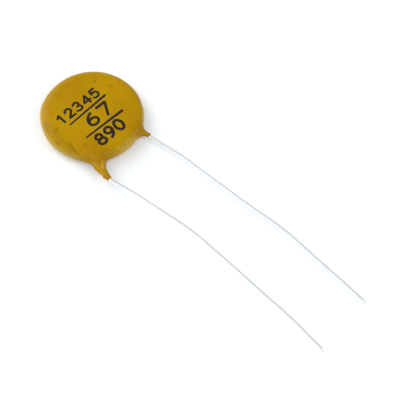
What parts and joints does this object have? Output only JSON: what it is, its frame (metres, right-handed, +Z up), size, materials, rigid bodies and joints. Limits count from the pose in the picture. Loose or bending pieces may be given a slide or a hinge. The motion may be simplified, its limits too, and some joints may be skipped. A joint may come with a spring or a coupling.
{
  "type": "ceramic disc capacitor",
  "caption": "Through-hole ceramic disc capacitor: a round resin-dipped disc whose coating runs down in tails over stiff tinned wire leads, lying on its back",
  "frame": {"origin": "Centre of the coating's flat back face, on which the part lies.", "axes": "+Z points up out of the marked face, the leads run towards -Y, and the marking reads along +X."},
  "size_m": [0.0158, 0.0609, 0.0026],
  "materials": {
    "resin": "satin gloss dipped resin, mustard brown",
    "ceramic": "fired, matt, tan",
    "silver": "fired silver film, matt",
    "solder": "tin solder, satin",
    "tinned_wire": "bright tinned copper"
  },
  "bodies": {
    "root": {"resin_coating": "resin", "ceramic_disc": "ceramic", "front_electrode": "silver", "rear_electrode": "silver", "front_solder": "solder", "rear_solder": "solder", "front_lead": "tinned_wire", "rear_lead": "tinned_wire"}
  },
  "joints": []
}
